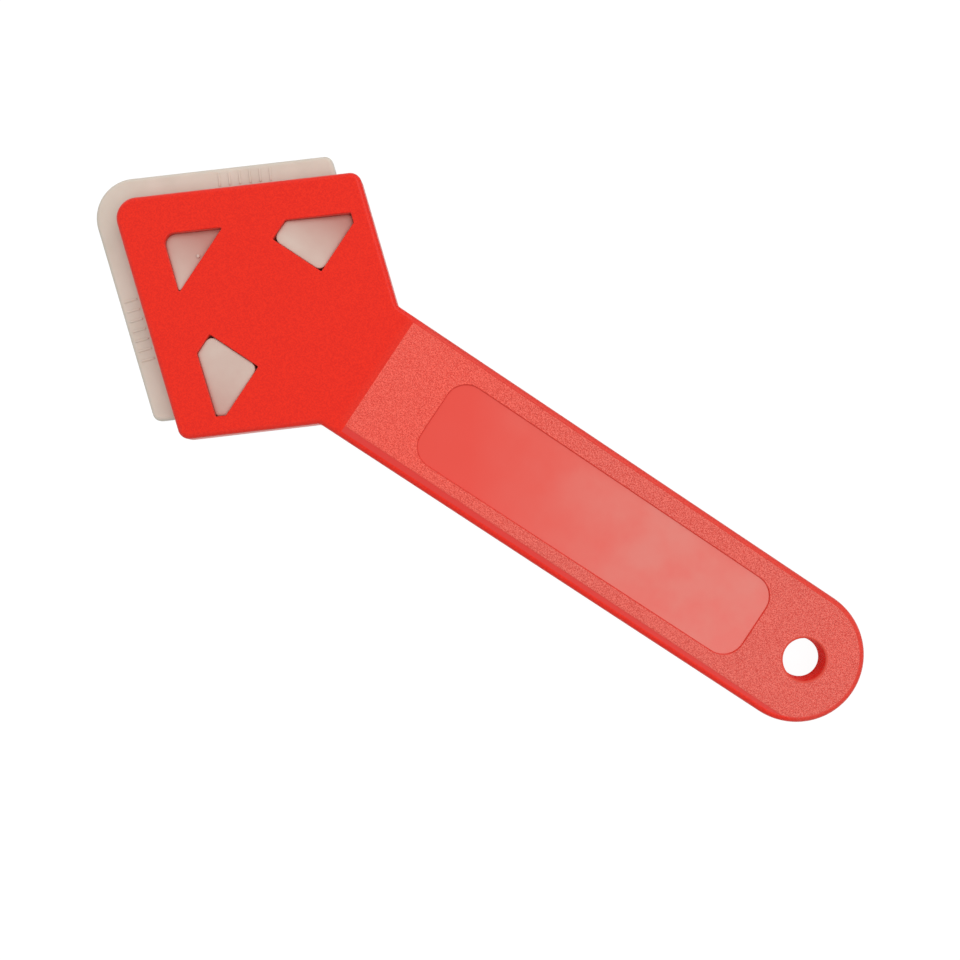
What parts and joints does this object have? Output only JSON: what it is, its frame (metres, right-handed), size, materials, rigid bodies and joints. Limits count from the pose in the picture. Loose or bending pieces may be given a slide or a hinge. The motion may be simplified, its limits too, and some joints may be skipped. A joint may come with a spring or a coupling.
{
  "type": "sealant smoothing tool",
  "caption": "Flat hand tool for smoothing sealant: a long red plastic grip with a hanging hole and a diamond head that holds a pull-off rubber pad on its back.",
  "frame": {"origin": "middle of the tool's length and width, on the pad's underside, which is the lowest plane", "axes": "+X along the grip from the head to the hanging hole, +Z out of the handle's labelled face"},
  "size_m": [0.1911, 0.0674, 0.0083],
  "materials": {
    "red_plastic": "satin head, fine grained grip",
    "silicone_rubber": "smooth satin"
  },
  "bodies": {
    "pad": {"pad": "silicone_rubber"},
    "handle": {"handle": "red_plastic"}
  },
  "joints": [
    {"name": "pad_pull_off", "type": "slide", "parent": "pad", "child": "handle", "axis": [0, 0, 1], "range_m": [0, 0.01]}
  ]
}
